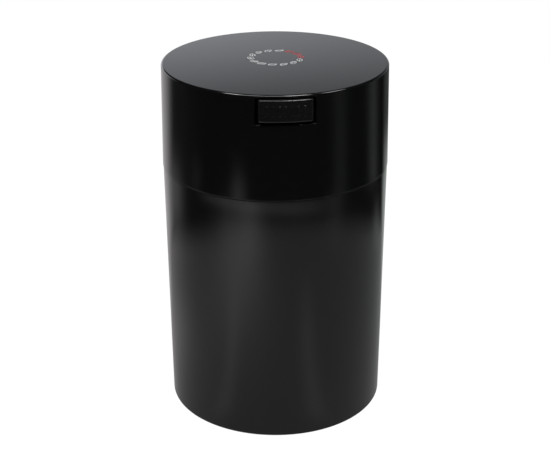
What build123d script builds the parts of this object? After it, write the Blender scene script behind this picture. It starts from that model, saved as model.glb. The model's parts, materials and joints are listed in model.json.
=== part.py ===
from build123d import *
import os
from math import cos, hypot, pi, sin, sqrt, tau

# A vacuum canister for coffee. A tumbler with a stepped-in neck takes a deep cap that
# slides down over the neck like a piston, and a push button in the cap's skirt opens
# the valve. Millimetres, +Z up. The origin is the centre of the foot ring, on the
# table, and the button faces -Y.

# Tumbler
shoulder_height = 136.8
shoulder_radius = 59.95
body_draft = 1.4
body_wall = 2.4
floor_thickness = 2.6
foot_recess = 1.6
foot_ring_width = 4.4
foot_edge_radius = 1.2
foot_recess_corner_radius = 0.8
floor_corner_radius = 3.0
shoulder_edge_radius = 0.4
shoulder_inner_radius = 1.5
gate_dimple_radius = 5.0
gate_dimple_depth = 0.6

# Cap, which slides down over the tumbler's neck and rests on its shoulder
cap_height = 54.9
cap_overhang = 0.25
cap_draft = 0.8
cap_wall = 2.2
cap_top_thickness = 2.0
cap_edge_radius = 1.1
cap_inner_corner_radius = 1.0
cap_mouth_edge_radius = 0.5
cap_mouth_lead_in_radius = 0.6

# Neck, inside the cap's bore
neck_clearance = 1.1
neck_draft = 0.3
neck_wall = 2.2
neck_root_fillet = 0.5
rim_clearance = 1.7
rim_edge_radius = 0.8

# Groove and sealing ring near the neck's rim
groove_below_rim = 4.0
groove_height = 5.0
groove_depth = 1.4
seal_groove_clearance = 0.05
seal_top_clearance = 0.1
seal_bore_clearance = 0.1
seal_land_inset = 0.1
seal_lip_thickness = 1.1
seal_lip_tip_radius = 0.25
seal_end_land = 0.5

# Button, a hollow moulding with a face as curved as the cap
button_width = 27.0
button_height = 11.6
button_proud = 1.5
button_face_thickness = 1.8
button_skirt_thickness = 1.4
button_corner_radius = 1.0
button_edge_radius = 0.7
button_rib_thickness = 1.0
button_rib_depth = 2.0
button_travel = 2.6
button_stop_clearance = 0.2
grip_rib_count = 7
grip_rib_width = 1.3
grip_rib_proud = 0.35
grip_side_margin = 3.55
grip_end_margin = 3.0

# Window and pocket that the button slides in
window_rim_flat = 0.05
window_edge_radius = 0.3
button_top_gap = 0.55
button_bottom_gap = 1.6
button_side_gap = 1.5
pocket_depth = 8.5
pocket_wall = 1.8
pocket_corner_radius = 0.8

# Return spring, which stands inside the button's skirt
spring_wire = 0.5
spring_skirt_clearance = 0.5
spring_boss_clearance = 0.2
spring_seat_clearance = 0.03
spring_seat_depth = 0.8
spring_turns = 5
spring_end_turns = 1
spring_end_gap = 0.45
arcs_per_turn = 4
gap_points_per_turn = 48

# Valve on the button's stem, which passes through the spring and the port
guide_boss_wall = 0.9
guide_boss_length = 1.0
port_clearance = 0.1
stem_web = 1.5
stem_shoulder = 0.7
stem_tip_length = 1.0
stem_tip_chamfer = 0.3
seat_lip_height = 0.4
seat_lip_width = 0.8
washer_overlap = 1.2
washer_thickness = 1.6
washer_bore_clearance = 0.05
clip_rim = 1.8
clip_thickness = 0.5
clip_groove_depth = 0.4
clip_groove_clearance = 0.05
clip_mouth = 2.0
clip_relief_radius = 0.5

cut_overrun = 2.0

# Radii that several pieces share
foot_radius = shoulder_radius - body_draft
cap_mouth_radius = shoulder_radius + cap_overhang
cap_top_radius = cap_mouth_radius - cap_draft
neck_root_radius = cap_mouth_radius - cap_wall - neck_clearance
neck_rim_radius = neck_root_radius - neck_draft

# Heights that several pieces share, from the top of the cap down to the neck's groove
floor_top = foot_recess + floor_thickness
overall_height = shoulder_height + cap_height
window_top = overall_height - cap_edge_radius - window_edge_radius - window_rim_flat
button_top = window_top - button_top_gap
button_bottom = button_top - button_height
window_sill = button_bottom - button_bottom_gap
rim_height = window_sill - pocket_wall - rim_clearance
groove_top = rim_height - groove_below_rim
groove_bottom = groove_top - groove_height
stem_height = (button_top + button_bottom) / 2
window_width = button_width + 2 * button_side_gap

# A plane across the valve's axis: its Z runs out of the window, so that a height above
# the plane is a distance from the canister's axis.
valve_plane = Plane(origin=(0, 0, stem_height), x_dir=(1, 0, 0), z_dir=(0, -1, 0))


def cap_radius_at(height):
    """The cap's outer radius at a height, on its draft."""
    return cap_mouth_radius - cap_draft * (height - shoulder_height) / cap_height


def neck_radius_at(height):
    """The neck's outer radius at a height, on its draft."""
    share = (height - shoulder_height) / (rim_height - shoulder_height)
    return neck_root_radius - neck_draft * share


# Distances along the valve's axis, from the canister's axis outwards
pocket_back = cap_radius_at(stem_height) - pocket_depth
pocket_wall_inside = pocket_back - pocket_wall
washer_face = pocket_wall_inside - seat_lip_height
clip_face = washer_face - washer_thickness
stem_tip = clip_face - clip_thickness - stem_tip_length
button_face = cap_radius_at(stem_height) + button_proud
button_face_back = button_face - button_face_thickness
button_inner_edge = pocket_back + button_travel + button_stop_clearance
spring_seat = button_face_back - spring_seat_depth

# Radii about the valve's axis, from the button's skirt inwards
spring_radius = button_height / 2 - button_skirt_thickness - spring_skirt_clearance
coil_radius = spring_radius - spring_wire / 2
spring_pad_radius = coil_radius + spring_wire
guide_boss_radius = spring_radius - spring_wire - spring_boss_clearance
port_radius = guide_boss_radius - guide_boss_wall
stem_radius = port_radius - port_clearance
spigot_radius = stem_radius - stem_shoulder
seat_lip_radius = guide_boss_radius + seat_lip_width / 2


def turned(points, corners):
    """A solid of revolution about Z from (radius, height) points, with some corners rounded."""
    outline = make_face(Polyline(*points, close=True))
    for corner, radius in corners:
        outline = fillet(outline.vertices().sort_by_distance(Vector(*corner))[0], radius)
    return revolve(Plane.XZ * outline, Axis.Z)


def slab(width, bottom, top, inner, outer):
    """A block astride the button's middle, from one distance from the axis to another."""
    block = Box(width, outer - inner, top - bottom, align=(Align.CENTER, Align.MIN, Align.MIN))
    return Pos(0, -outer, bottom) * block


def rod(radius, inner, outer):
    """A round bar on the valve's axis, from one distance from the axis to another."""
    return extrude(valve_plane.offset(inner) * Circle(radius), amount=outer - inner)


def column(radius):
    """A cylinder about the canister's axis, taller than the cap."""
    return Cylinder(radius, overall_height + cut_overrun, align=(Align.CENTER, Align.CENTER, Align.MIN))


def make_canister_body():
    """The tumbler: foot ring, tapered wall, flat shoulder, and the neck with its groove."""
    foot_ring_inside = foot_radius - foot_ring_width
    groove_floor = neck_radius_at(groove_bottom) - groove_depth
    shoulder_inside = shoulder_radius - body_wall
    neck_root_inside = neck_root_radius - neck_wall
    neck_rim_inside = neck_rim_radius - neck_wall
    shoulder_underside = shoulder_height - body_wall
    slope_start = shoulder_underside - (shoulder_inside - neck_root_inside)
    points = [
        (0, foot_recess + gate_dimple_depth),
        (gate_dimple_radius, foot_recess + gate_dimple_depth),
        (gate_dimple_radius, foot_recess),
        (foot_ring_inside, foot_recess),
        (foot_ring_inside, 0),
        (foot_radius, 0),
        (shoulder_radius, shoulder_height),
        (neck_root_radius, shoulder_height),
        (neck_radius_at(groove_bottom), groove_bottom),
        (groove_floor, groove_bottom),
        (groove_floor, groove_top),
        (neck_radius_at(groove_top), groove_top),
        (neck_rim_radius, rim_height),
        (neck_rim_inside, rim_height),
        (neck_root_inside, shoulder_underside),
        (shoulder_inside, slope_start),
        (foot_radius - body_wall, floor_top),
        (0, floor_top),
    ]
    corners = [
        ((foot_ring_inside, foot_recess), foot_recess_corner_radius),
        ((foot_radius, 0), foot_edge_radius),
        ((shoulder_radius, shoulder_height), shoulder_edge_radius),
        ((neck_root_radius, shoulder_height), neck_root_fillet),
        ((neck_rim_radius, rim_height), rim_edge_radius),
        ((neck_rim_inside, rim_height), rim_edge_radius),
        ((neck_root_inside, shoulder_underside), shoulder_inner_radius),
        ((shoulder_inside, slope_start), shoulder_inner_radius),
        ((foot_radius - body_wall, floor_top), floor_corner_radius),
    ]
    return turned(points, corners)


def make_neck_seal():
    """The silicone ring: a band in the groove, with two lips that reach the cap's bore."""
    inside = neck_radius_at(groove_bottom) - groove_depth + seal_groove_clearance
    land = neck_rim_radius - seal_land_inset
    lip = cap_radius_at(groove_top) - cap_wall - seal_bore_clearance
    top = groove_top - seal_top_clearance
    lower_lip = groove_bottom + seal_end_land
    upper_lip = top - seal_end_land
    waist = (lower_lip + upper_lip) / 2
    points = [
        (inside, groove_bottom),
        (land, groove_bottom),
        (land, lower_lip),
        (lip, lower_lip + seal_lip_thickness / 2),
        (land, waist),
        (lip, upper_lip - seal_lip_thickness / 2),
        (land, upper_lip),
        (land, top),
        (inside, top),
    ]
    corners = [
        ((lip, lower_lip + seal_lip_thickness / 2), seal_lip_tip_radius),
        ((lip, upper_lip - seal_lip_thickness / 2), seal_lip_tip_radius),
    ]
    return turned(points, corners)


def make_pocket_cavity():
    """The space that the button slides in, from outside the skirt to the pocket's back wall."""
    cavity = slab(window_width, window_sill, window_top, pocket_back, cap_mouth_radius + cut_overrun)
    return fillet(cavity.edges().filter_by(Axis.Y), pocket_corner_radius)


def is_window_edge(point):
    """Whether a point lies on the skirt's outer face and round the window."""
    slack = window_edge_radius / 2
    on_skirt = abs(hypot(point.X, point.Y) - cap_radius_at(point.Z)) < slack
    beside = abs(point.X) < window_width / 2 + slack and point.Y < 0
    return on_skirt and beside and window_sill - slack < point.Z < window_top + slack


def make_cap_shell():
    """The cap: a drafted skirt, a flat top, and the valve pocket behind its window."""
    bore_mouth = cap_mouth_radius - cap_wall
    bore_top = cap_top_radius - cap_wall
    ceiling = overall_height - cap_top_thickness
    points = [
        (bore_mouth, shoulder_height),
        (cap_mouth_radius, shoulder_height),
        (cap_top_radius, overall_height),
        (0, overall_height),
        (0, ceiling),
        (bore_top, ceiling),
    ]
    corners = [
        ((bore_mouth, shoulder_height), cap_mouth_lead_in_radius),
        ((cap_mouth_radius, shoulder_height), cap_mouth_edge_radius),
        ((cap_top_radius, overall_height), cap_edge_radius),
        ((bore_top, ceiling), cap_inner_corner_radius),
    ]
    cap = turned(points, corners)

    # The pocket's walls join the skirt and the top from inside.
    outside = slab(
        window_width + 2 * pocket_wall,
        window_sill - pocket_wall,
        ceiling + cap_top_thickness / 2,
        pocket_wall_inside,
        cap_top_radius,
    )
    cap = cap + (outside & column(cap_top_radius - cap_wall / 2)) - make_pocket_cavity()
    cap = fillet([edge for edge in cap.edges() if is_window_edge(edge @ (1 / 2))], window_edge_radius)

    # The port has a guide for the spring on one side and a lip for the washer on the other.
    guide = rod(guide_boss_radius, pocket_back, pocket_back + guide_boss_length)
    lip = rod(seat_lip_radius, washer_face, pocket_wall_inside)
    lip -= rod(seat_lip_radius - seat_lip_width, washer_face, pocket_wall_inside)
    port = rod(port_radius, washer_face - cut_overrun, pocket_back + guide_boss_length + cut_overrun)
    return cap + guide + lip - port


def make_vent_button():
    """The button: a curved hollow face with grip ribs, and the fluted stem that opens the valve."""
    reach = button_face + cut_overrun
    block = slab(button_width, button_bottom, button_top, button_inner_edge, reach)
    block = fillet(block.edges().filter_by(Axis.Y), button_corner_radius)
    button = block & column(button_face)
    front = button.faces().sort_by(Axis.Y)[0]
    button = fillet(front.edges(), button_edge_radius)
    hollow = slab(
        button_width - 2 * button_skirt_thickness,
        button_bottom + button_skirt_thickness,
        button_top - button_skirt_thickness,
        button_inner_edge,
        reach,
    )
    button -= hollow & column(button_face_back)
    button += make_grip_ribs()

    # Two ribs stiffen the face on either side of the spring.
    rib_low = stem_height - button_rib_thickness / 2
    rib_top = rib_low + button_rib_thickness
    rib_edge = button_face_back - button_rib_depth
    rib = slab(button_width - button_skirt_thickness, rib_low, rib_top, rib_edge, reach)
    rib &= column(button_face - button_face_thickness / 2)
    button += rib - rod(spring_pad_radius, rib_edge, spring_seat)

    # The spring stands on a flat pad, and the stem runs in through the port.
    pad = rod(spring_pad_radius, spring_seat, button_face - button_face_thickness / 2)
    centring = rod(guide_boss_radius, spring_seat - guide_boss_length, spring_seat)
    return button + pad + centring + make_stem() + make_spigot()


def make_grip_ribs():
    """A row of short upright ribs on the button's face, for the finger."""
    span = button_width - 2 * grip_side_margin - grip_rib_width
    length = button_height - 2 * grip_end_margin
    root = button_face - button_face_thickness / 2
    ribs = Part()
    for number in range(grip_rib_count):
        across = span * (number / (grip_rib_count - 1) - 1 / 2)
        outline = Pos(across, 0) * SlotOverall(length, grip_rib_width, rotation=90)
        base = valve_plane.offset(button_face - button_face_thickness) * outline
        ribs += extrude(base, amount=button_face_thickness + cut_overrun)
    return (ribs & column(button_face + grip_rib_proud)) - column(root)


def make_stem():
    """The stem in the port: a round bar cut to a cross, so that air passes along it."""
    bar = rod(stem_radius, washer_face, spring_seat)
    cross = Rectangle(2 * stem_radius, stem_web) + Rectangle(stem_web, 2 * stem_radius)
    flutes = extrude(valve_plane.offset(washer_face) * cross, amount=spring_seat - washer_face)
    return bar & flutes


def make_spigot():
    """The stem's thin end inside the cap, with a groove for the clip and a chamfered tip."""
    spigot = rod(spigot_radius, stem_tip, washer_face)
    spigot = chamfer(spigot.faces().sort_by(Axis.Y)[-1].edges(), stem_tip_chamfer)
    groove_inner = clip_face - clip_thickness - clip_groove_clearance
    groove = rod(spigot_radius + cut_overrun, groove_inner, clip_face)
    groove -= rod(spigot_radius - clip_groove_depth, groove_inner, clip_face)
    return spigot - groove


def make_valve_washer():
    """The silicone washer that the spring draws against the lip round the port."""
    washer = rod(seat_lip_radius + washer_overlap, clip_face, washer_face)
    return washer - rod(spigot_radius + washer_bore_clearance, clip_face, washer_face)


def make_stem_clip():
    """The open spring-steel clip in the stem's groove, behind the washer."""
    bore = spigot_radius - clip_groove_depth + clip_groove_clearance
    rim = spigot_radius + clip_rim
    plate = Circle(rim) - Circle(bore)
    plate -= Pos(0, -rim) * Rectangle(clip_mouth, 2 * rim)
    for side in (-1, 1):
        plate -= Pos(side * bore, 0) * Circle(clip_relief_radius)
    return extrude(valve_plane.offset(clip_face - clip_thickness) * plate, amount=clip_thickness)


def coil_rise(turn):
    """How far the spring has climbed after a number of turns: its end turns lie closer."""
    height = spring_seat - pocket_back - 2 * spring_seat_clearance - spring_wire
    end_pitch = spring_wire + spring_end_gap
    open_pitch = (height - 2 * spring_end_turns * end_pitch) / (spring_turns - 2 * spring_end_turns)
    low = min(turn, spring_end_turns)
    high = max(turn - (spring_turns - spring_end_turns), 0)
    return (low + high) * end_pitch + (turn - low - high) * open_pitch


def coil_point(turn):
    """A point on the spring's centre line, in a frame whose Z is the coil's axis."""
    angle = tau * turn
    return Vector(coil_radius * cos(angle), coil_radius * sin(angle), coil_rise(turn))


def coil_tangent(turn):
    """The centre line's direction, with the climb of the arcs on either side shared."""
    before = max(turn - 1 / arcs_per_turn, 0)
    after = min(turn + 1 / arcs_per_turn, spring_turns)
    climb = (coil_rise(after) - coil_rise(before)) / (after - before)
    run = tau * coil_radius
    angle = tau * turn
    return Vector(-run * sin(angle), run * cos(angle), climb).normalized()


def biarc(start, start_tangent, end, end_tangent):
    """Two arcs that leave start and reach end along their tangents, and meet smoothly."""
    chord = end - start
    both = start_tangent + end_tangent
    spread = 4 - both.dot(both)
    reach = (sqrt(chord.dot(both) ** 2 + spread * chord.dot(chord)) - chord.dot(both)) / spread
    before = start + start_tangent * reach
    after = end - end_tangent * reach
    middle = (before + after) / 2
    first = TangentArc(start, middle, tangent=start_tangent)
    return [first, TangentArc(middle, end, tangent=after - before)]


def least_coil_gap():
    """The least clear distance between the wire and itself, at least half a turn apart."""
    count = spring_turns * gap_points_per_turn
    points = [coil_point(number / gap_points_per_turn) for number in range(count + 1)]
    half_turn = gap_points_per_turn // 2
    apart = [
        (points[one] - points[other]).length
        for one in range(count + 1)
        for other in range(one + half_turn, count + 1)
    ]
    return min(apart) - spring_wire


def make_return_spring():
    """The compression spring, one unbroken wire between the pocket's wall and the pad."""
    arcs = []
    for number in range(spring_turns * arcs_per_turn):
        start, end = number / arcs_per_turn, (number + 1) / arcs_per_turn
        arcs += biarc(coil_point(start), coil_tangent(start), coil_point(end), coil_tangent(end))
    path = Wire([arc.edge() for arc in arcs])
    section = Plane(origin=path @ 0, z_dir=path % 0) * Circle(spring_wire / 2)
    coil = sweep(section, path=path)
    base = pocket_back + spring_seat_clearance + spring_wire / 2
    wire_volume = pi * spring_wire**2 / 4 * path.length
    print(f"spring: volume {coil.volume:.3f}, section times length {wire_volume:.3f}")
    print(f"spring: least gap to itself {least_coil_gap():.3f}")
    return valve_plane.offset(base).location * coil


pieces = {
    "canister_body": make_canister_body,
    "neck_seal": make_neck_seal,
    "cap_shell": make_cap_shell,
    "vent_button": make_vent_button,
    "return_spring": make_return_spring,
    "valve_washer": make_valve_washer,
    "stem_clip": make_stem_clip,
}

os.makedirs("parts", exist_ok=True)
for name, make in pieces.items():
    export_step(make(), f"parts/{name}.step")
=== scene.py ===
import json
from math import cos, pi, radians, sin, sqrt, tan, tau

import bmesh
import bpy
from mathutils import Matrix, Vector


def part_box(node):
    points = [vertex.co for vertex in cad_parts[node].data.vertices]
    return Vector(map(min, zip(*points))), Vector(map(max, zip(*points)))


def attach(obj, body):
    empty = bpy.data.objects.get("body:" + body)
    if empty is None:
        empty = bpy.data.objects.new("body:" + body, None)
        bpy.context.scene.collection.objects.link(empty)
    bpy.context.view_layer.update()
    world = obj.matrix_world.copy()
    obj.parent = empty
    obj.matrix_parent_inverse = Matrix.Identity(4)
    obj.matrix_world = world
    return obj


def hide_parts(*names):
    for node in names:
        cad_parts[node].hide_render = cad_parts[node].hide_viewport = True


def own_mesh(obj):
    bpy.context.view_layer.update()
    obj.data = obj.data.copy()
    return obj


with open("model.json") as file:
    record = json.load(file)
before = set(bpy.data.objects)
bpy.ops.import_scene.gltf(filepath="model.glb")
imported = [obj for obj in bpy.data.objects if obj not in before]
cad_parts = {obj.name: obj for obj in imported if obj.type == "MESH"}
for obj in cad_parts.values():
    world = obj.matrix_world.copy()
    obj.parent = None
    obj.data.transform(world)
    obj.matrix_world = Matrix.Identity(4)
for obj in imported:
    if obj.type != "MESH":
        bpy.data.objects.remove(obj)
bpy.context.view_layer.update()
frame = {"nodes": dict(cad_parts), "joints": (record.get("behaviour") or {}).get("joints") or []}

# Camera
# It stands in front of the canister and five degrees to the left of the button, and looks down
# on the cap through a long lens. All lengths in this file are in metres.
camera_turn = radians(-5)
camera_distance = 0.6674
camera_height = 0.3869
camera_tilt = radians(66.619)
camera_roll = radians(-0.166)
camera_lens_mm = 86.67
camera_sensor_mm = 36
camera_shift_share = -0.0008

camera_data = bpy.data.cameras.new("camera")
camera_data.lens = camera_lens_mm
camera_data.sensor_width = camera_sensor_mm
camera_data.shift_x = camera_shift_share
camera = bpy.data.objects.new("camera", camera_data)
bpy.context.scene.collection.objects.link(camera)
towards_camera = Matrix.Rotation(camera_turn, 4, "Z")
camera.matrix_world = (
    towards_camera
    @ Matrix.Translation((0, -camera_distance, camera_height))
    @ Matrix.Rotation(camera_tilt, 4, "X")
    @ Matrix.Rotation(camera_roll, 4, "Z")
)
bpy.context.scene.camera = camera
bpy.context.scene.view_settings.view_transform = "Standard"


# Studio
# The canister stands on a sheet of white paper that runs back to a white backdrop, under five
# soft lamps. To the camera both are plain white with a faint shadow. In gloss and in clear
# materials they show the light and dark parts of a photographer's table and room; on the
# paper these are painted light and shade.
class Socket:
    """An output of a node, on which Python's operators add the nodes for the sum they write."""

    def __init__(self, tree, link):
        self.tree = tree
        self.link = link

    def node(self, kind, settings=None, values=None, output=0):
        """Add a node with its settings, then the values or links of its sockets."""
        made = self.tree.nodes.new(kind)
        for name, setting in (settings or {}).items():
            setattr(made, name, setting)
        for name, value in (values or {}).items():
            if isinstance(value, Socket):
                value.feed(made.inputs[name])
            else:
                made.inputs[name].default_value = value
        return Socket(self.tree, made.outputs[output])

    def feed(self, input_socket):
        self.tree.links.new(self.link, input_socket)

    def math(self, operation, *values):
        return self.node("ShaderNodeMath", {"operation": operation}, dict(enumerate(values)))

    def __add__(self, other):
        return self.math("ADD", self, other)

    def __radd__(self, other):
        return self.math("ADD", other, self)

    def __sub__(self, other):
        return self.math("SUBTRACT", self, other)

    def __rsub__(self, other):
        return self.math("SUBTRACT", other, self)

    def __mul__(self, other):
        return self.math("MULTIPLY", self, other)

    def __rmul__(self, other):
        return self.math("MULTIPLY", other, self)

    def __truediv__(self, other):
        return self.math("DIVIDE", self, other)

    def __rtruediv__(self, other):
        return self.math("DIVIDE", other, self)

    def rise(self, start, end):
        """0 below start, 1 above end, and smooth between them; it falls where end is below start."""
        low, high = (0, 1) if start < end else (1, 0)
        values = {"Value": self, "To Min": low, "To Max": high}
        values |= {"From Min": min(start, end), "From Max": max(start, end)}
        return self.node("ShaderNodeMapRange", {"interpolation_type": "SMOOTHSTEP"}, values)

    def bell(self, centre, width):
        """1 at the centre, falling away on both sides over about a width."""
        away = (self - centre) / width
        return self.math("EXPONENT", away * away * -1)

    def axes(self):
        """The three parts of a vector."""
        split = self.node("ShaderNodeSeparateXYZ", {}, {"Vector": self}).link.node
        return [Socket(self.tree, part) for part in split.outputs]

    def colour_between(self, first, second):
        """A colour from the first, where this is 0, to the second, where it is 1."""
        # A Mix node takes its two colours at inputs 6 and 7, and gives its colour at output 2.
        colours = {"Factor": self, 6: (*first, 1), 7: (*second, 1)}
        return self.node("ShaderNodeMix", {"data_type": "RGBA"}, colours, 2)


def given(tree, kind, output):
    """An output of a new node that needs no input, such as the place of a point."""
    return Socket(tree, tree.nodes.new(kind).outputs[output])


def camera_rays(tree):
    """1 for rays straight from the camera, and 0 for others."""
    return given(tree, "ShaderNodeLightPath", "Is Camera Ray")


def mirrored_rays(tree):
    """1 for rays that come by way of gloss or a clear material, and 0 for others."""
    glossy = given(tree, "ShaderNodeLightPath", "Is Glossy Ray")
    return glossy.math("MAXIMUM", glossy, given(tree, "ShaderNodeLightPath", "Is Transmission Ray"))


def shader_between(share, first, second):
    """The first shader where the share is 0, and the second where it is 1."""
    return first.node("ShaderNodeMixShader", {}, {0: share, 1: first, 2: second})


def distance_from(across, back, place=(0.0, 0.0)):
    """The distance of a point from a place, as seen from above."""
    squares = (across - place[0]) * (across - place[0]) + (back - place[1]) * (back - place[1])
    return squares.math("SQRT", squares)


def pool(across, back, place_across, place_back, width, light):
    """A soft round pool of light on the floor."""
    return across.bell(place_across, width) * back.bell(place_back, width) * light


# What the floor shows in gloss is painted light and shade: the disc, sector, halo, ring, pools and
# glows are painted light, and the dark band and the dimmed far side of the sector are painted shade.
# A place is so far to the right and to the back as the camera sees it, and a bearing turns to the
# right from straight back. Each pair is where a part starts and where it is full. A pool is its place,
# width and light, and a glow is its bearing, width and light.
disc_place = (0.01, -0.0415)
disc_edge = (0.327, 0.258)
disc_light = 0.3
disc_left_side = (0, -0.15)
disc_left_light = 0.08
main_pool = (-0.15, -0.23, 0.115, 0.44)
main_pool_reach = (0.37, 0.31)
edge_pool = (-0.15, -0.34, 0.075, 0.46)
small_pools = (
    (-0.24, -0.35, 0.055, 0.4),
    (-0.25, -0.25, 0.06, 0.14),
    (0.3, -0.19, 0.06, 0.12),
    (-0.13, 0.02, 0.05, 0.12),
    (-0.32, 0.14, 0.085, 0.34),
    (0.25, 0.14, 0.04, 0.14),
    (-0.43, -0.07, 0.05, 0.08),
)
ring_place = (-0.005, 0.0)
ring_inside = (0.349, 0.356)
ring_outside = (0.384, 0.366)
ring_light = 0.4
ring_left_bearings = (radians(-95), radians(-128))
ring_right_bearings = (radians(112), radians(165))
# The dark band is painted shade on the paper, in front, between the disc and the ring.
dark_band_reach = 0.343
dark_band_width = 0.0075
dark_band_loss = 0.7
back_left_bearings = (radians(-64), radians(-42))
back_right_bearings = (radians(50), radians(37))
back_light = 0.54
# Painted shade dims the far right side of the sector's painted light.
back_far_side = (0.05, 0.2)
back_far_reach = (0.33, 0.53)
back_far_loss = 0.85
halo_bearings = (radians(-72), radians(-40))
halo_back = (0, 0.15)
halo_side = (0, -0.1)
halo_reach = (0.2, 0.3)
halo_light = 0.15
room_light = 0.01
room_reach = (0.33, 0.42)
room_glows = (
    (radians(70), radians(9), 0.16),
    (radians(116), radians(8), 0.1),
    (radians(-77), radians(22), 0.04),
)
near_reach = (0.28, 0.16)
near_glows = ((radians(-142), radians(7), 0.15), (radians(152), radians(8), 0.15))
foot_clearance = (0.055, 0.085)
tint_side = (-0.1, 0.2)
left_tint = (1.0, 0.965, 0.985)
right_tint = (0.93, 1.0, 0.955)
# The paper itself.
floor_size = 8.0
floor_gap = 0.00005
shadow_share = 0.1
paper_white = 0.95
paper_shown = 1.06

floor_material = bpy.data.materials.new("paper_and_backdrop")
floor_material.use_nodes = True
tree = floor_material.node_tree
tree.nodes.clear()
place = given(tree, "ShaderNodeTexCoord", "Object")
across, back, _ = place.axes()
reach = distance_from(across, back)
bearing = across.math("ARCTAN2", across, back)
disc = distance_from(across, back, disc_place).rise(*disc_edge)
disc = disc * (across.rise(*disc_left_side) * disc_left_light + disc_light)
beyond_foot = reach.rise(*foot_clearance)
sector = bearing.rise(*back_left_bearings) * bearing.rise(*back_right_bearings) * beyond_foot * back_light
sector = sector * (1 - across.rise(*back_far_side) * reach.rise(*back_far_reach) * back_far_loss)
halo = bearing.rise(*halo_bearings) * back.rise(*halo_back) * across.rise(*halo_side)
sector = sector + halo * reach.rise(*halo_reach) * halo_light
pools = pool(across, back, *main_pool) * reach.rise(*main_pool_reach)
pools = pools + pool(across, back, *edge_pool) * reach.rise(*ring_outside)
for small_pool in small_pools:
    pools = pools + pool(across, back, *small_pool)
ring_reach = distance_from(across, back, ring_place)
ring = ring_reach.rise(*ring_inside) * ring_reach.rise(*ring_outside) * ring_light
in_front = bearing.rise(*ring_left_bearings) + bearing.rise(*ring_right_bearings)
# Painted shade: a dark band on the paper in front, between the disc and the ring.
painted_dark_band = 1 - ring_reach.bell(dark_band_reach, dark_band_width) * in_front * dark_band_loss
light = disc.math("MAXIMUM", disc * painted_dark_band, sector) + pools + ring * in_front + room_light
for glow_bearing, glow_width, glow_light in room_glows:
    light = light + bearing.bell(glow_bearing, glow_width) * reach.rise(*room_reach) * glow_light
for glow_bearing, glow_width, glow_light in near_glows:
    near_glow = bearing.bell(glow_bearing, glow_width) * reach.rise(*near_reach)
    light = light + near_glow * beyond_foot * glow_light
tint = across.rise(*tint_side).colour_between(left_tint, right_tint)
# The paper's painted light and shade, which only gloss and clear materials see.
gloss = place.node("ShaderNodeEmission", {}, {"Color": tint, "Strength": light})
matte = place.node("ShaderNodeBsdfDiffuse", {}, {"Color": (paper_white, paper_white, paper_white, 1)})
white = place.node("ShaderNodeEmission", {}, {"Color": (1, 1, 1, 1), "Strength": paper_shown})
clear = place.node("ShaderNodeBsdfTransparent")
to_camera = shader_between(1 - shadow_share, matte, white)
shown = shader_between(camera_rays(tree), matte, to_camera)
surface = shader_between(mirrored_rays(tree), shown, gloss)
surface = shader_between(given(tree, "ShaderNodeNewGeometry", "Backfacing"), surface, clear)
surface.feed(tree.nodes.new("ShaderNodeOutputMaterial").inputs["Surface"])

floor_mesh = bpy.data.meshes.new("floor")
half = floor_size / 2
floor_corners = [(x * half, y * half, -floor_gap) for x, y in ((-1, -1), (1, -1), (1, 1), (-1, 1))]
floor_mesh.from_pydata(floor_corners, [], [(0, 1, 2, 3)])
floor_mesh.materials.append(floor_material)
floor = bpy.data.objects.new("floor", floor_mesh)
floor.matrix_world = towards_camera
bpy.context.scene.collection.objects.link(floor)

# The backdrop behind the table, brighter on the left, as gloss shows it. Its pairs are shares of a
# direction: the share upwards is the sine of the angle over the floor.
backdrop_light = 1.03
backdrop_top = radians(20.3)
backdrop_full = radians(13.5)
backdrop_behind = (0.3, 0.7)
backdrop_left_side = (0.35, -0.35)
backdrop_right_share = 0.37
backdrop_left_share = 1.45
backdrop_tint = (0.915, 0.945, 1.0)
upper_light = 0.03
soft_light = 0.15

world = bpy.data.worlds.new("studio")
world.use_nodes = True
bpy.context.scene.world = world
tree = world.node_tree
tree.nodes.clear()
direction = given(tree, "ShaderNodeTexCoord", "Generated")
turned_by = {"Vector": direction, "Angle": -camera_turn}
direction = direction.node("ShaderNodeVectorRotate", {"rotation_type": "Z_AXIS"}, turned_by)
rightwards, backwards, upwards = direction.axes()
band = upwards.rise(sin(backdrop_top), sin(backdrop_full)) * backwards.rise(*backdrop_behind)
more_on_left = rightwards.rise(*backdrop_left_side) * (backdrop_left_share - backdrop_right_share)
mirrored = band * (more_on_left + backdrop_right_share) * backdrop_light + upper_light
in_gloss = mirrored_rays(tree)
plain = camera_rays(tree) * (1 - soft_light) + soft_light
strength = in_gloss * mirrored + (1 - in_gloss) * plain
colour = in_gloss.colour_between((1, 1, 1), backdrop_tint)
sky = direction.node("ShaderNodeBackground", {}, {"Color": colour, "Strength": strength})
sky.feed(tree.nodes.new("ShaderNodeOutputWorld").inputs["Surface"])


def soft_lamp(name, place, width, depth, watts):
    """A flat lamp over the table, turned to face the canister's cap."""
    data = bpy.data.lights.new(name, "AREA")
    data.shape = "RECTANGLE"
    data.size = width
    data.size_y = depth
    data.energy = watts
    lamp = bpy.data.objects.new(name, data)
    bpy.context.scene.collection.objects.link(lamp)
    lamp.location = towards_camera @ Vector(place)
    aim = Vector((0, 0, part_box("cap_shell")[1].z)) - lamp.location
    lamp.rotation_euler = aim.to_track_quat("-Z", "Y").to_euler()


soft_lamp("lamp_front", place=(-0.03, -0.58, 1.25), width=1.3, depth=0.17, watts=9.6)
soft_lamp("lamp_near", place=(0.3, -0.49, 1.28), width=0.34, depth=0.2, watts=4.4)
soft_lamp("lamp_left", place=(-0.62, -0.35, 1.25), width=0.28, depth=0.22, watts=4.6)
soft_lamp("lamp_right", place=(0.74, -0.2, 1.05), width=0.4, depth=0.25, watts=3.2)
soft_lamp("lamp_above", place=(0, 0.2, 1.5), width=0.6, depth=0.6, watts=0.4)


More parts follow.
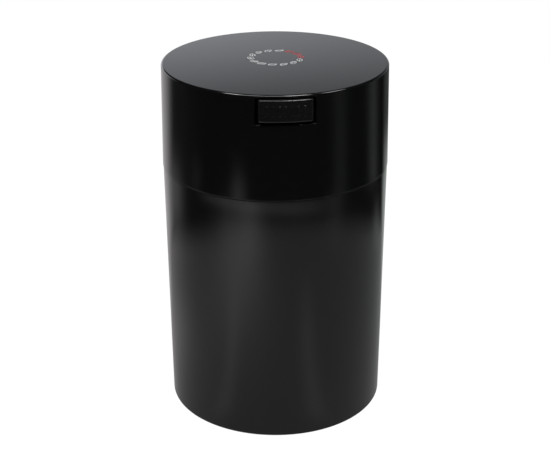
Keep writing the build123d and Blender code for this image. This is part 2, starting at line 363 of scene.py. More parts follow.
# Tumbler
# The lower half is one injection moulding in black plastic: a foot ring, a tapered wall, a flat
# shoulder and the neck that the cap slides down over, with a groove for the seal.
shoulder_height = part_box("cap_shell")[0].z
rim_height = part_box("canister_body")[1].z
groove_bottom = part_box("neck_seal")[0].z
seal_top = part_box("neck_seal")[1].z
seal_top_clearance = 0.0001
groove_top = seal_top + seal_top_clearance
shoulder_radius = 0.05995
foot_radius = 0.05855
body_wall = 0.0024
floor_top = 0.0042
foot_recess = 0.0016
foot_ring_width = 0.0044
foot_edge_radius = 0.0012
foot_inner_edge_radius = 0.0004
foot_recess_corner_radius = 0.0008
floor_corner_radius = 0.003
shoulder_edge_radius = 0.0004
shoulder_inner_radius = 0.0015
gate_dimple_radius = 0.005
gate_dimple_depth = 0.0006
gate_dimple_edge_radius = 0.0002
neck_root_radius = 0.0569
neck_rim_radius = 0.0566
neck_wall = 0.0022
neck_root_fillet = 0.0005
groove_depth = 0.0014
groove_edge_radius = 0.0002
rim_edge_radius = 0.0008
turned_steps = 288
arc_steps = 8
merge_distance = 0.000002
sharp_angle = radians(32)


def rounded(corners):
    """The points of an outline of (radius, height, rounding) corners, with an arc at each rounding."""
    line = []
    for number, (radius, height, rounding) in enumerate(corners):
        corner = Vector((radius, 0, height))
        if not rounding:
            line.append(corner)
            continue
        last, following = corners[number - 1], corners[(number + 1) % len(corners)]
        back = (Vector((last[0], 0, last[1])) - corner).normalized()
        ahead = (Vector((following[0], 0, following[1])) - corner).normalized()
        half_angle = back.angle(ahead) / 2
        centre = corner + (back + ahead).normalized() * (rounding / sin(half_angle))
        reach = rounding / tan(half_angle)
        start, end = corner + back * reach - centre, corner + ahead * reach - centre
        line += [centre + start.slerp(end, step / arc_steps) * rounding for step in range(arc_steps + 1)]
    return line


def mark_creases(work):
    """Keep an edge sharp where its faces meet at more than the sharp angle, and shade the rest smooth."""
    for side in work.edges:
        side.smooth = side.calc_face_angle(pi) < sharp_angle
    for face in work.faces:
        face.smooth = True


def new_piece(name, mesh):
    """An object at the origin for a mesh, with its doubles merged and its faces turned outwards."""
    work = bmesh.new()
    work.from_mesh(mesh)
    bmesh.ops.remove_doubles(work, verts=work.verts, dist=merge_distance)
    bmesh.ops.recalc_face_normals(work, faces=work.faces)
    mark_creases(work)
    work.to_mesh(mesh)
    work.free()
    piece = bpy.data.objects.new(name, mesh)
    bpy.context.scene.collection.objects.link(piece)
    return piece


def turned(name, corners, steps=turned_steps):
    """A piece turned about the canister's axis from the corners of its outline."""
    work = bmesh.new()
    line = rounded(corners)
    on_axis = {number: work.verts.new(point) for number, point in enumerate(line) if point.x == 0}
    rings = []
    for step in range(steps):
        turn = Matrix.Rotation(tau * step / steps, 3, "Z")
        ring = []
        for number, point in enumerate(line):
            ring.append(on_axis[number] if number in on_axis else work.verts.new(turn @ point))
        rings.append(ring)
    for ring, following in zip(rings, rings[1:] + rings[:1]):
        for number in range(len(line)):
            square = (ring[number - 1], ring[number], following[number], following[number - 1])
            distinct = list(dict.fromkeys(square))
            if len(distinct) > 2:
                work.faces.new(distinct)
    mesh = bpy.data.meshes.new(name)
    work.to_mesh(mesh)
    work.free()
    return new_piece(name, mesh)


def settle(piece):
    """Replace a piece's mesh by what its modifiers make of it, and take them off."""
    bpy.context.view_layer.update()
    shaped = piece.evaluated_get(bpy.context.evaluated_depsgraph_get())
    piece.data = bpy.data.meshes.new_from_object(shaped)
    piece.modifiers.clear()


def even_shading(piece):
    """Give broad faces the say over the shading where they run into an edge's narrow faces."""
    weights = piece.modifiers.new("even_shading", "WEIGHTED_NORMAL")
    weights.keep_sharp = True
    settle(piece)


def neck_radius_at(height):
    """The radius of the neck's outside, which tapers towards its rim."""
    share = (height - shoulder_height) / (rim_height - shoulder_height)
    return neck_root_radius + (neck_rim_radius - neck_root_radius) * share


foot_ring_inside = foot_radius - foot_ring_width
groove_floor = neck_radius_at(groove_bottom) - groove_depth
neck_root_inside = neck_root_radius - neck_wall
shoulder_inside = shoulder_radius - body_wall
shoulder_underside = shoulder_height - body_wall
slope_start = shoulder_underside - (shoulder_inside - neck_root_inside)
tumbler = turned(
    "tumbler",
    [
        (0, foot_recess + gate_dimple_depth, 0),
        (gate_dimple_radius, foot_recess + gate_dimple_depth, gate_dimple_edge_radius),
        (gate_dimple_radius, foot_recess, gate_dimple_edge_radius),
        (foot_ring_inside, foot_recess, foot_recess_corner_radius),
        (foot_ring_inside, 0, foot_inner_edge_radius),
        (foot_radius, 0, foot_edge_radius),
        (shoulder_radius, shoulder_height, shoulder_edge_radius),
        (neck_root_radius, shoulder_height, neck_root_fillet),
        (neck_radius_at(groove_bottom), groove_bottom, groove_edge_radius),
        (groove_floor, groove_bottom, 0),
        (groove_floor, groove_top, 0),
        (neck_radius_at(groove_top), groove_top, groove_edge_radius),
        (neck_rim_radius, rim_height, rim_edge_radius),
        (neck_rim_radius - neck_wall, rim_height, rim_edge_radius),
        (neck_root_inside, shoulder_underside, shoulder_inner_radius),
        (shoulder_inside, slope_start, shoulder_inner_radius),
        (foot_radius - body_wall, floor_top, floor_corner_radius),
        (0, floor_top, 0),
    ],
)
even_shading(tumbler)


def new_material(name, **constants):
    """A material with the constants set on its shader's own sockets, and the place on the piece."""
    material = bpy.data.materials.new(name)
    material.use_nodes = True
    tree = material.node_tree
    shader = tree.nodes["Principled BSDF"]
    for socket, value in constants.items():
        shader.inputs[socket.replace("_", " ")].default_value = value
    return material, shader.inputs, given(tree, "ShaderNodeTexCoord", "Object")


def noise(place, per_metre, detail):
    """Noise between 0 and 1 over a place, with so many lumps a metre."""
    return place.node("ShaderNodeTexNoise", {}, {"Vector": place, "Scale": per_metre, "Detail": detail})


def bump(height, depth):
    """The shading of a surface that rises and falls by a height times a depth."""
    return height.node("ShaderNodeBump", {}, {"Strength": 1.0, "Distance": depth, "Height": height})


def tumbler_plastic():
    """Semi-gloss black, with faint upright streaks where the moulding was drawn from its tool."""
    dark, light = (0.003, 0.0029, 0.0029), (0.0045, 0.0042, 0.0041)
    drawn_upright = (1, 1, 0.03)
    least_roughness, streak_roughness, cloud_roughness = 0.045, 0.05, 0.02
    streak_share, grain_share, relief = 0.6, 0.4, 0.000004
    material, inputs, place = new_material("black_moulding", IOR=1.5)
    upright = place.node("ShaderNodeVectorMath", {"operation": "MULTIPLY"}, {0: place, 1: drawn_upright})
    streaks = noise(upright, per_metre=130, detail=3)
    cloud = noise(place, per_metre=18, detail=2)
    grain = noise(place, per_metre=5200, detail=1)
    cloud.colour_between(dark, light).feed(inputs["Base Color"])
    roughness = streaks * streak_roughness + cloud * cloud_roughness + least_roughness
    roughness.feed(inputs["Roughness"])
    bump(streaks * streak_share + grain * grain_share, relief).feed(inputs["Normal"])
    return material


def fit(piece, material, body, slot, *nodes):
    """Give a finished piece its material, and its place in the frame."""
    piece.data.materials.clear()
    piece.data.materials.append(material)
    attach(piece, body)
    if nodes:
        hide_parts(*nodes)


fit(tumbler, tumbler_plastic(), "canister", "body_plastic", "canister_body")


# Neck seal
# A silicone ring stretched into the groove, moulded with two thin lips that lean on the cap's
# bore. It turns with the cap and stays on the neck when the cap is lifted.
seal_groove_clearance = 0.00005
seal_land_depth = 0.0001
seal_lip_rounding_loss = 0.00009
seal_inside = groove_floor + seal_groove_clearance
seal_land = neck_rim_radius - seal_land_depth
seal_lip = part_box("neck_seal")[1].x + seal_lip_rounding_loss
seal_lip_thickness = 0.0011
seal_end_land = 0.0005
seal_lip_tip_radius = 0.00025
seal_valley_radius = 0.0003
seal_edge_radius = 0.00012
lower_lip = groove_bottom + seal_end_land
upper_lip = seal_top - seal_end_land
neck_seal = turned(
    "lip_seal",
    [
        (seal_inside, groove_bottom, seal_edge_radius),
        (seal_land, groove_bottom, seal_edge_radius),
        (seal_land, lower_lip, seal_edge_radius),
        (seal_lip, lower_lip + seal_lip_thickness / 2, seal_lip_tip_radius),
        (seal_land, (lower_lip + upper_lip) / 2, seal_valley_radius),
        (seal_lip, upper_lip - seal_lip_thickness / 2, seal_lip_tip_radius),
        (seal_land, upper_lip, seal_edge_radius),
        (seal_land, seal_top, seal_edge_radius),
        (seal_inside, seal_top, seal_edge_radius),
    ],
)
even_shading(neck_seal)


def silicone():
    """Matte dark grey rubber with a bloom of fine dust."""
    clean, dusty = (0.036, 0.036, 0.038), (0.062, 0.062, 0.064)
    dust_shows = (0.4, 0.75)
    least_roughness, dust_roughness, relief = 0.5, 0.2, 0.00001
    rubber = {"IOR": 1.41, "Sheen_Weight": 0.15, "Sheen_Roughness": 0.5}
    material, inputs, place = new_material("dark_silicone", **rubber)
    dust = noise(place, per_metre=260, detail=4)
    grain = noise(place, per_metre=6000, detail=1)
    dust.rise(*dust_shows).colour_between(clean, dusty).feed(inputs["Base Color"])
    (dust * dust_roughness + least_roughness).feed(inputs["Roughness"])
    bump(grain, relief).feed(inputs["Normal"])
    return material


seal_rubber = silicone()
fit(neck_seal, seal_rubber, "seal", "silicone", "neck_seal")


# Cap
# The deep upper half is one gloss black moulding with a finely satin top. A side core forms the
# window in its skirt and the pocket behind it, and a port runs through the pocket's back wall.
cap_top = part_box("cap_shell")[1].z
cap_mouth_radius = 0.0602
cap_top_radius = 0.0594
cap_wall = 0.0022
cap_top_thickness = 0.002
cap_edge_radius = 0.0011
cap_inner_corner_radius = 0.001
cap_mouth_edge_radius = 0.0005
cap_mouth_lead_in_radius = 0.0006
button_width = 0.027
button_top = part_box("vent_button")[1].z
button_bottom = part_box("vent_button")[0].z
button_top_gap = 0.00055
button_bottom_gap = 0.0016
button_side_gap = 0.0015
window_half_width = button_width / 2 + button_side_gap
window_top = button_top + button_top_gap
window_sill = button_bottom - button_bottom_gap
window_edge_radius = 0.0003
pocket_depth = 0.0085
pocket_wall = 0.0018
pocket_corner_radius = 0.0008
guide_boss_radius = 0.0032
guide_boss_length = 0.001
guide_edge_radius = 0.0002
port_radius = 0.0023
seat_lip_radius = 0.0036
seat_lip_width = 0.0008
seat_lip_edge_radius = 0.0001
cut_overrun = 0.002
ink_thickness = 0.00003
valve_turned_steps = 96
edge_steps = 5
side_steps = 36

valve_height = (button_top + button_bottom) / 2
ceiling = cap_top - cap_top_thickness
cap_face = cap_top - ink_thickness
quarter_turn = [pi / 2 * step / edge_steps for step in range(edge_steps + 1)]


def cap_radius_at(height):
    """The radius of the cap's outside, which tapers towards its top."""
    share = (height - shoulder_height) / (cap_top - shoulder_height)
    return cap_mouth_radius + (cap_top_radius - cap_mouth_radius) * share


def upright_frame(half_width, bottom, top, rounding):
    """Round an upright rectangle with rounded corners: (x, height, and the way out) at each point.

    The first half runs across the top and the second half back below it, at the same widths.
    """
    edge = half_width - rounding
    corner_height = top - rounding
    upper = []
    for angle in quarter_turn:
        aside, up = cos(angle), sin(angle)
        upper.append((-edge - rounding * aside, corner_height + rounding * up, -aside, up))
    upper += [(-edge + 2 * edge * step / side_steps, top, 0, 1) for step in range(1, side_steps)]
    for angle in quarter_turn:
        aside, up = sin(angle), cos(angle)
        upper.append((edge + rounding * aside, corner_height + rounding * up, aside, up))
    middle = (top + bottom) / 2
    return upper + [(x, 2 * middle - height, out, -rise) for x, height, out, rise in reversed(upper)]


def frame_loop(outline, offset, depth_at):
    """Points of an outline moved outwards by an offset, each at its own distance in front of the axis."""
    loop = []
    for x, height, out, rise in outline:
        x, height = x + out * offset, height + rise * offset
        loop.append(Vector((x, -depth_at(x, height), height)))
    return loop


def flat_at(distance):
    """A flat face at a distance in front of the axis."""
    return lambda x, height: distance


def round_at(radius):
    """A face that bends round the axis at a radius."""
    return lambda x, height: sqrt(radius**2 - x**2)


def cap_skin_at(x, height):
    """The outside of the cap's skirt."""
    return sqrt(cap_radius_at(height) ** 2 - x**2)


def rounded_rim(outline, rounding, outwards, face_at):
    """Loops that round a rim over: outwards is 1 for an opening's rim and -1 for a raised piece's."""
    loops = []
    for angle in quarter_turn:
        sunk = rounding * (1 - sin(angle))
        aside = rounding * (1 - cos(angle)) * outwards
        loops.append(frame_loop(outline, aside, lambda x, height: face_at(x, height) - sunk))
    return loops


def skinned(name, loops):
    """A closed piece through loops of as many points, whose ends are filled by upright strips."""
    skin = bmesh.new()
    rows = [[skin.verts.new(point) for point in loop] for loop in loops]
    count = len(rows[0])
    for row, following in zip(rows, rows[1:]):
        for number in range(count):
            skin.faces.new((row[number - 1], row[number], following[number], following[number - 1]))
    for row in (rows[0], rows[-1]):
        for number in range(count // 2 - 1):
            corners = [row[number], row[number + 1], row[count - 2 - number], row[count - 1 - number]]
            skin.faces.new(corners)
    mesh = bpy.data.meshes.new(name)
    skin.to_mesh(mesh)
    skin.free()
    return new_piece(name, mesh)


def valve_turned(name, corners):
    """A piece turned about the valve's axis: its heights are distances from the canister's axis."""
    piece = turned(name, corners, valve_turned_steps)
    piece.data.transform(Matrix.Translation((0, 0, valve_height)) @ Matrix.Rotation(pi / 2, 4, "X"))
    return piece


def combine(piece, other, operation):
    """Join another solid to a piece, or cut it out."""
    both = piece.modifiers.new(operation, "BOOLEAN")
    both.operation = operation
    both.solver = "EXACT"
    both.object = other
    settle(piece)
    bpy.data.objects.remove(other)


def sharpen(piece):
    """Merge doubles, drop strays, fill holes and mark the creases again, after solids were joined."""
    work = bmesh.new()
    work.from_mesh(piece.data)
    bmesh.ops.remove_doubles(work, verts=work.verts, dist=merge_distance)
    strays = [side for side in work.edges if not side.link_faces]
    bmesh.ops.delete(work, geom=strays, context="EDGES")
    holes = [side for side in work.edges if side.is_boundary]
    bmesh.ops.holes_fill(work, edges=holes, sides=0)
    bmesh.ops.delete(work, geom=[point for point in work.verts if not point.link_faces], context="VERTS")
    mark_creases(work)
    work.to_mesh(piece.data)
    work.free()


cap = turned(
    "cap",
    [
        (0, cap_face, 0),
        (cap_top_radius, cap_face, cap_edge_radius),
        (cap_mouth_radius, shoulder_height, cap_mouth_edge_radius),
        (cap_mouth_radius - cap_wall, shoulder_height, cap_mouth_lead_in_radius),
        (cap_top_radius - cap_wall, ceiling, cap_inner_corner_radius),
        (0, ceiling, 0),
    ],
)

pocket_back = cap_radius_at(valve_height) - pocket_depth
pocket_wall_middle = pocket_back - pocket_wall / 2
pocket_wall_inside = pocket_back - pocket_wall
guide_front = pocket_back + guide_boss_length
seat_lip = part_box("valve_washer")[0].y * -1
block_frame = upright_frame(
    window_half_width + pocket_wall,
    window_sill - pocket_wall,
    ceiling + cap_top_thickness / 2,
    pocket_corner_radius / 2,
)
block = skinned(
    "pocket_block",
    [
        frame_loop(block_frame, 0, flat_at(pocket_wall_inside)),
        frame_loop(block_frame, 0, round_at(cap_top_radius - cap_wall / 2)),
    ],
)
combine(cap, block, "UNION")

window = upright_frame(window_half_width, window_sill, window_top, pocket_corner_radius)
window_core = skinned(
    "window_core",
    [
        frame_loop(window, 0, flat_at(pocket_back)),
        *rounded_rim(window, window_edge_radius, 1, cap_skin_at),
        frame_loop(window, window_edge_radius, flat_at(cap_mouth_radius + cut_overrun)),
    ],
)
combine(cap, window_core, "DIFFERENCE")

guide = valve_turned(
    "guide_boss",
    [
        (0, pocket_wall_middle, 0),
        (guide_boss_radius, pocket_wall_middle, 0),
        (guide_boss_radius, guide_front, guide_edge_radius),
        (0, guide_front, 0),
    ],
)
combine(cap, guide, "UNION")
lip = valve_turned(
    "seat_lip",
    [
        (0, pocket_wall_middle, 0),
        (seat_lip_radius, pocket_wall_middle, 0),
        (seat_lip_radius, seat_lip, seat_lip_edge_radius),
        (seat_lip_radius - seat_lip_width, seat_lip, seat_lip_edge_radius),
        (seat_lip_radius - seat_lip_width, pocket_wall_inside, 0),
        (0, pocket_wall_inside, 0),
    ],
)
combine(cap, lip, "UNION")
port = valve_turned(
    "port",
    [
        (0, seat_lip - cut_overrun, 0),
        (port_radius, seat_lip - cut_overrun, 0),
        (port_radius, guide_front + cut_overrun, 0),
        (0, guide_front + cut_overrun, 0),
    ],
)
combine(cap, port, "DIFFERENCE")
sharpen(cap)
even_shading(cap)


def cap_plastic():
    """Gloss black on the skirt; the top has the fine satin of a blasted tool."""
    dark, light = (0.0022, 0.0023, 0.0023), (0.0032, 0.0033, 0.0034)
    satin_below, satin_full_below, satin_margin = 0.0002, 0.00005, 0.001
    least_roughness, satin_roughness, haze_roughness = 0.07, 0.02, 0.03
    grain_share, cloud_share, relief = 0.4, 0.5, 0.000004
    material, inputs, place = new_material("gloss_black", IOR=1.5)
    across, back, height = place.axes()
    on_top = height.rise(cap_face - satin_below, cap_face - satin_full_below)
    on_top = on_top * distance_from(across, back).rise(cap_top_radius, cap_top_radius - satin_margin)
    cloud = noise(place, per_metre=14, detail=2)
    haze = noise(place, per_metre=70, detail=3)
    grain = noise(place, per_metre=4200, detail=1)
    cloud.colour_between(dark, light).feed(inputs["Base Color"])
    roughness = on_top * satin_roughness + haze * haze_roughness + least_roughness
    roughness.feed(inputs["Roughness"])
    bump(grain * on_top * grain_share + cloud * cloud_share, relief).feed(inputs["Normal"])
    return material


fit(cap, cap_plastic(), "cap", "cap_plastic", "cap_shell")


# Printed wreath
# Fourteen coffee beans in white and red ink, printed as fine lines round the middle of the
# cap's top as a plain ornament.
def new_tree(name, **sizes):
    """A tree of geometry nodes with named sizes: the tree, its sockets, and what makes its nodes."""
    tree = bpy.data.node_groups.new(name, "GeometryNodeTree")
    tree.interface.new_socket("Geometry", in_out="INPUT", socket_type="NodeSocketGeometry")
    tree.interface.new_socket("Geometry", in_out="OUTPUT", socket_type="NodeSocketGeometry")
    for size, value in sizes.items():
        kind = "NodeSocketInt" if isinstance(value, int) else "NodeSocketFloat"
        tree.interface.new_socket(size, in_out="INPUT", socket_type=kind)
    group = tree.nodes.new("NodeGroupInput")
    inputs = {output.name: Socket(tree, output) for output in group.outputs if output.name}
    return tree, inputs, inputs["Geometry"].node


def run_tree(piece, tree, result, material, **sizes):
    """Send a tree's result out in a material, run it on a piece with these sizes, and keep the mesh."""
    result = result.node("GeometryNodeRealizeInstances", {}, {"Geometry": result})
    result = result.node("GeometryNodeSetMaterial", {}, {"Geometry": result, "Material": material})
    result.feed(tree.nodes.new("NodeGroupOutput").inputs["Geometry"])
    modifier = piece.modifiers.new(tree.name, "NODES")
    modifier.node_group = tree
    for item in tree.interface.items_tree:
        if item.in_out == "INPUT" and item.name in sizes:
            modifier[item.identifier] = sizes[item.name]
    settle(piece)


wreath_place = (0.001, 0.0059)
wreath_radius = 0.0132
bean_length = 0.0046
bean_width = 0.0027
bean_lean = radians(28)
bean_outline_points = 40
crease_points = 25
crease_swing = 0.00035
line_width = 0.00032
bean_count = 14
red_beans = 3
first_red_bean = 0


def printed_beans(name, first, count, material):
    """Some of the wreath's beans, counted anticlockwise from the right, as a thin layer of ink."""
    sizes = {"First": first, "Count": count, "Radius": wreath_radius, "Swing": crease_swing}
    sizes |= {"Long": bean_length / 2, "Wide": bean_width / 2, "Line": line_width, "Ink": ink_thickness}
    tree, size, make = new_tree(name, **sizes)
    outline = {"Resolution": bean_outline_points, "Radius": size["Long"]}
    circle = make("GeometryNodeCurvePrimitiveCircle", {}, outline)
    squeeze = make("ShaderNodeCombineXYZ", {}, {"X": size["Wide"] / size["Long"], "Y": 1.0, "Z": 1.0})
    rim = make("GeometryNodeTransform", {}, {"Geometry": circle, "Scale": squeeze})
    top = make("ShaderNodeCombineXYZ", {}, {"Y": size["Long"]})
    bottom = make("ShaderNodeCombineXYZ", {}, {"Y": size["Long"] * -1})
    crease = make("GeometryNodeCurvePrimitiveLine", {}, {"Start": bottom, "End": top})
    crease = make("GeometryNodeResampleCurve", {}, {"Curve": crease, "Count": crease_points})
    _, along, _ = make("GeometryNodeInputPosition").axes()
    phase = along / size["Long"] * pi
    swing = make("ShaderNodeCombineXYZ", {}, {"X": phase.math("SINE", phase) * size["Swing"]})
    crease = make("GeometryNodeSetPosition", {}, {"Geometry": crease, "Offset": swing})
    both = make("GeometryNodeJoinGeometry", {}, {"Geometry": rim})
    crease.feed(both.link.node.inputs["Geometry"])
    flat = {"Width": size["Line"], "Height": size["Ink"]}
    profile = make("GeometryNodeCurvePrimitiveQuadrilateral", {"mode": "RECTANGLE"}, flat)
    drawn = {"Curve": both, "Profile Curve": profile, "Fill Caps": True}
    bean = make("GeometryNodeCurveToMesh", {}, drawn)
    bean = make("GeometryNodeTransform", {}, {"Geometry": bean, "Rotation": (0, 0, bean_lean)})
    points = make("GeometryNodeMeshLine", {}, {"Count": size["Count"], "Offset": (0, 0, 0)})
    bearing = (make("GeometryNodeInputIndex") + size["First"]) * (tau / bean_count)
    out_x = bearing.math("COSINE", bearing) * size["Radius"]
    out_y = bearing.math("SINE", bearing) * size["Radius"]
    spread = make("ShaderNodeCombineXYZ", {}, {"X": out_x, "Y": out_y})
    points = make("GeometryNodeSetPosition", {}, {"Geometry": points, "Offset": spread})
    turns = make("ShaderNodeCombineXYZ", {}, {"Z": bearing})
    placed = {"Points": points, "Instance": bean, "Rotation": turns}
    beans = make("GeometryNodeInstanceOnPoints", {}, placed)
    on_cap = (*wreath_place, cap_face + ink_thickness / 2)
    beans = make("GeometryNodeTransform", {}, {"Geometry": beans, "Translation": on_cap})
    layer = bpy.data.objects.new(name, bpy.data.meshes.new(name))
    bpy.context.scene.collection.objects.link(layer)
    run_tree(layer, tree, beans, material, **sizes)
    fit(layer, material, "cap", None)


def ink(name, colour, worn):
    """Screen-printed ink, a little thin in places."""
    thin_places = (0.3, 0.6)
    least_roughness, thin_roughness = 0.35, 0.2
    material, inputs, place = new_material(name, IOR=1.5)
    cover = noise(place, per_metre=900, detail=3)
    cover.rise(*thin_places).colour_between(worn, colour).feed(inputs["Base Color"])
    (cover * thin_roughness + least_roughness).feed(inputs["Roughness"])
    return material


red_ink = ink("red_ink", colour=(0.62, 0.02, 0.03), worn=(0.42, 0.02, 0.03))
white_ink = ink("white_ink", colour=(0.75, 0.75, 0.75), worn=(0.5, 0.5, 0.5))
printed_beans("print_red", first_red_bean, red_beans, red_ink)
printed_beans("print_white", first_red_bean + red_beans, bean_count - red_beans, white_ink)


# Vent button
# A curved gloss moulding that fills the window, hollow behind, with seven short ribs for the
# finger. Its fluted stem runs in through the port and carries the valve.
press_joint = next(joint for joint in frame["joints"] if joint["name"] == "button_press")
button_travel = press_joint["range_m"][1]
button_stop_clearance = 0.0002
button_stands_proud = 0.0015
face_radius = cap_radius_at(valve_height) + button_stands_proud
face_thickness = 0.0018
face_inside = face_radius - face_thickness
face_middle = face_radius - face_thickness / 2
skirt_thickness = 0.0014
button_corner_radius = 0.001
button_edge_radius = 0.00085
button_inner_edge = pocket_back + button_travel + button_stop_clearance
spring_pad_thickness = 0.0008
spring_pad_radius = 0.00415
spring_seat = face_inside - spring_pad_thickness
stem_radius = 0.0022
stem_web = 0.0015
stem_flute_count = 4
spigot_radius = 0.0015
stem_tip = -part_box("vent_button")[1].y
stem_tip_chamfer = 0.0003
clip_clearance = 0.00005
clip_front = -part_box("stem_clip")[0].y
clip_back = -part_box("stem_clip")[1].y - clip_clearance
clip_groove_depth = 0.0004
stiffener_thickness = 0.001
stiffener_depth = 0.002
stiffener_inner_edge = face_inside - stiffener_depth
stiffener_corner_radius = stiffener_thickness / 10
grip_rib_count = 7
grip_rib_pitch = 0.0031
grip_rib_width = 0.0013
grip_rib_length = 0.0056
grip_rib_proud = 0.00035
grip_rib_sunk = face_thickness / 3
grip_rib_edge_radius = 0.0003
grip_rib_roundness = 0.98
grip_rib_corner_radius = grip_rib_width / 2 * grip_rib_roundness

button_frame = upright_frame(button_width / 2, button_bottom, button_top, button_corner_radius)
hollow_frame = upright_frame(
    button_width / 2 - skirt_thickness,
    button_bottom + skirt_thickness,
    button_top - skirt_thickness,
    button_corner_radius / 2,
)
button = skinned(
    "push_button",
    [
        frame_loop(hollow_frame, 0, round_at(face_inside)),
        frame_loop(hollow_frame, 0, flat_at(button_inner_edge)),
        frame_loop(button_frame, 0, flat_at(button_inner_edge)),
        *rounded_rim(button_frame, button_edge_radius, -1, round_at(face_radius)),
    ],
)

stiffener_frame = upright_frame(
    button_width / 2 - skirt_thickness / 2,
    valve_height - stiffener_thickness / 2,
    valve_height + stiffener_thickness / 2,
    stiffener_corner_radius,
)
stiffener = skinned(
    "stiffener",
    [
        frame_loop(stiffener_frame, 0, flat_at(stiffener_inner_edge)),
        frame_loop(stiffener_frame, 0, round_at(face_middle)),
    ],
)
spring_space = valve_turned(
    "spring_space",
    [
        (0, stiffener_inner_edge - cut_overrun, 0),
        (spring_pad_radius, stiffener_inner_edge - cut_overrun, 0),
        (spring_pad_radius, spring_seat, 0),
        (0, spring_seat, 0),
    ],
)
combine(stiffener, spring_space, "DIFFERENCE")
combine(button, stiffener, "UNION")

boss_end = spring_seat - guide_boss_length
stem = valve_turned(
    "stem",
    [
        (0, stem_tip, 0),
        (spigot_radius - stem_tip_chamfer, stem_tip, 0),
        (spigot_radius, stem_tip + stem_tip_chamfer, 0),
        (spigot_radius, clip_back, 0),
        (spigot_radius - clip_groove_depth, clip_back, 0),
        (spigot_radius - clip_groove_depth, clip_front, 0),
        (spigot_radius, clip_front, 0),
        (spigot_radius, seat_lip, 0),
        (stem_radius, seat_lip, 0),
        (stem_radius, boss_end, 0),
        (guide_boss_radius, boss_end, 0),
        (guide_boss_radius, spring_seat, 0),
        (spring_pad_radius, spring_seat, 0),
        (spring_pad_radius, face_middle, 0),
        (0, face_middle, 0),
    ],
)


def button_plastic():
    """The cap's gloss black, a touch duller where fingers have polished and hazed it."""
    dark, light = (0.0036, 0.0038, 0.0037), (0.006, 0.0062, 0.006)
    least_roughness, haze_roughness, relief = 0.07, 0.06, 0.000008
    material, inputs, place = new_material("button_black", IOR=1.5)
    haze = noise(place, per_metre=240, detail=3)
    cloud = noise(place, per_metre=40, detail=2)
    cloud.colour_between(dark, light).feed(inputs["Base Color"])
    (haze * haze_roughness + least_roughness).feed(inputs["Roughness"])
    bump(cloud, relief).feed(inputs["Normal"])
    return material


button_black = button_plastic()
flute_sizes = {
    "Count": stem_flute_count,
    "Web": stem_web,
    "Reach": 2 * stem_radius,
    "From": seat_lip,
    "To": boss_end,
}
tree, size, make = new_tree("stem_flutes", **flute_sizes)
block_size = {"X": size["Reach"], "Y": size["Reach"], "Z": size["To"] - size["From"]}
block = make("GeometryNodeMeshCube", {}, {"Size": make("ShaderNodeCombineXYZ", {}, block_size)})
aside = size["Reach"] / 2 + size["Web"] / 2
aside_by = make("ShaderNodeCombineXYZ", {}, {"X": aside, "Y": aside, "Z": 0.0})
block = make("GeometryNodeTransform", {}, {"Geometry": block, "Translation": aside_by})
points = make("GeometryNodeMeshLine", {}, {"Count": size["Count"], "Offset": (0, 0, 0)})
turns = make("ShaderNodeCombineXYZ", {}, {"Z": make("GeometryNodeInputIndex") * tau / size["Count"]})
placed = {"Points": points, "Instance": block, "Rotation": turns}
flutes = make("GeometryNodeInstanceOnPoints", {}, placed)
flutes = make("GeometryNodeRealizeInstances", {}, {"Geometry": flutes})
middle = (size["To"] + size["From"]) / -2
shift = make("ShaderNodeCombineXYZ", {}, {"Y": middle, "Z": valve_height})
laid = {"Geometry": flutes, "Translation": shift, "Rotation": (pi / 2, 0, 0)}
flutes = make("GeometryNodeTransform", {}, laid)
solids = {"Mesh 1": size["Geometry"], "Mesh 2": flutes}
cut = make("GeometryNodeMeshBoolean", {"operation": "DIFFERENCE", "solver": "EXACT"}, solids)
run_tree(stem, tree, cut, button_black, **flute_sizes)
combine(button, stem, "UNION")

rib_frame = upright_frame(
    grip_rib_width / 2,
    valve_height - grip_rib_length / 2,
    valve_height + grip_rib_length / 2,
    grip_rib_corner_radius,
)
rib = skinned(
    "grip_rib",
    [
        frame_loop(rib_frame, 0, flat_at(-grip_rib_sunk)),
        *rounded_rim(rib_frame, grip_rib_edge_radius, -1, flat_at(grip_rib_proud)),
    ],
)
rib_sizes = {"Count": grip_rib_count, "Pitch": grip_rib_pitch, "Radius": face_radius}
tree, size, make = new_tree("grip_ribs", **rib_sizes)
one_rib = make("GeometryNodeObjectInfo", {}, {"Object": rib}, "Geometry")
step = make("ShaderNodeCombineXYZ", {}, {"X": size["Pitch"]})
first = make("ShaderNodeCombineXYZ", {}, {"X": (1 - size["Count"]) * size["Pitch"] / 2})
row = {"Count": size["Count"], "Start Location": first, "Offset": step}
points = make("GeometryNodeMeshLine", {}, row)
across, _, _ = make("GeometryNodeInputPosition").axes()
outwards = size["Radius"] * size["Radius"] - across * across
onto_face = make("ShaderNodeCombineXYZ", {}, {"Y": outwards.math("SQRT", outwards) * -1})
points = make("GeometryNodeSetPosition", {}, {"Geometry": points, "Offset": onto_face})
lean = across / size["Radius"]
facing = make("ShaderNodeCombineXYZ", {}, {"Z": lean.math("ARCSINE", lean)})
placed = {"Points": points, "Instance": one_rib, "Rotation": facing}
ribs = make("GeometryNodeInstanceOnPoints", {}, placed)
ribs = make("GeometryNodeRealizeInstances", {}, {"Geometry": ribs})
solids = {"Mesh 2": size["Geometry"]}
joined = make("GeometryNodeMeshBoolean", {"operation": "UNION", "solver": "EXACT"}, solids)
ribs.feed(joined.link.node.inputs["Mesh 2"])
run_tree(button, tree, joined, button_black, **rib_sizes)
bpy.data.objects.remove(rib)
sharpen(button)
even_shading(button)
fit(button, button_black, "button", "button_plastic", "vent_button")
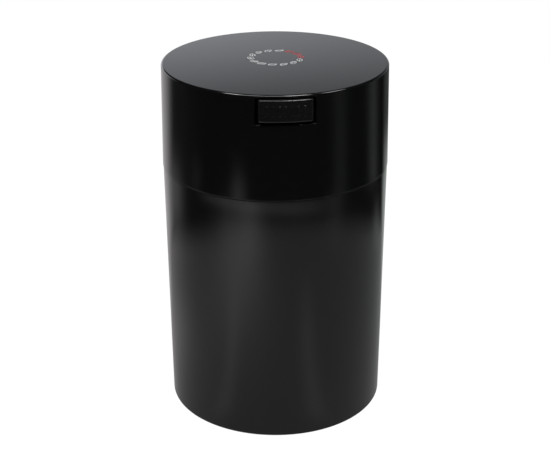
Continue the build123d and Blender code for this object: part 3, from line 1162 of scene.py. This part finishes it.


# Return spring
# Five turns of spring steel wire round the stem, between the pocket's back wall and the pad
# inside the button. Its end turns lie closer.
wire_radius = 0.00025
coil_radius = 0.00365
end_turn_gap = 0.00045
spring_end_clearance = 0.00003
spring_length = spring_seat - pocket_back - 2 * spring_end_clearance
points_per_turn = 48
wire_sides = 14

spring_sizes = {
    "Turns": 5.0,
    "End Turns": 1.0,
    "End Pitch": 2 * wire_radius + end_turn_gap,
    "Wire Radius": wire_radius,
    "Coil Radius": coil_radius,
    "Length": spring_length,
}
tree, size, make = new_tree("return_spring", **spring_sizes)
coil_shape = {
    "Resolution": points_per_turn,
    "Rotations": size["Turns"],
    "Start Radius": size["Coil Radius"],
    "End Radius": size["Coil Radius"],
    "Height": 0.0,
}
coil = make("GeometryNodeCurveSpiral", {}, coil_shape)
turn = make("GeometryNodeSplineParameter") * size["Turns"]
open_turns = size["Turns"] - size["End Turns"] * 2
open_length = size["Length"] - size["Wire Radius"] * 2 - size["End Turns"] * size["End Pitch"] * 2
open_pitch = open_length / open_turns
low = turn.math("MINIMUM", turn, size["End Turns"])
high = turn.math("MAXIMUM", turn - (size["Turns"] - size["End Turns"]), 0.0)
climb = (low + high) * size["End Pitch"] + (turn - low - high) * open_pitch
lift = make("ShaderNodeCombineXYZ", {}, {"Z": climb})
coil = make("GeometryNodeSetPosition", {}, {"Geometry": coil, "Offset": lift})
section = {"Resolution": wire_sides, "Radius": size["Wire Radius"]}
section = make("GeometryNodeCurvePrimitiveCircle", {}, section)
drawn = {"Curve": coil, "Profile Curve": section, "Fill Caps": True}
wire = make("GeometryNodeCurveToMesh", {}, drawn)
spring_place = (0, -(pocket_back + spring_end_clearance + wire_radius), valve_height)
laid = {"Geometry": wire, "Translation": spring_place, "Rotation": (pi / 2, 0, 0)}
wire = make("GeometryNodeTransform", {}, laid)


def spring_steel():
    """Bright drawn wire with faint lines along it."""
    dull, bright = (0.42, 0.42, 0.43), (0.6, 0.59, 0.57)
    least_roughness, line_roughness, relief = 0.22, 0.2, 0.000003
    material, inputs, place = new_material("drawn_steel", Metallic=1.0)
    lines = noise(place, per_metre=2600, detail=3)
    tint = noise(place, per_metre=500, detail=2)
    tint.colour_between(dull, bright).feed(inputs["Base Color"])
    (lines * line_roughness + least_roughness).feed(inputs["Roughness"])
    bump(lines, relief).feed(inputs["Normal"])
    return material


steel = spring_steel()
spring = bpy.data.objects.new("coil_spring", bpy.data.meshes.new("coil_spring"))
bpy.context.scene.collection.objects.link(spring)
run_tree(spring, tree, wire, steel, **spring_sizes)
sharpen(spring)
fit(spring, steel, "cap", "spring_steel", "return_spring")
-pocket_back
(spring_length - button_travel) / spring_length
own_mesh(spring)


# Valve washer and stem clip
# The silicone washer closes the port from inside the cap, and an open spring-steel clip in the
# stem's groove holds it and keeps the button in. Their CAD shapes are the real ones.
for node, material in (("valve_washer", seal_rubber), ("stem_clip", steel)):
    small = frame["nodes"][node]
    small.data.materials.clear()
    small.data.materials.append(material)
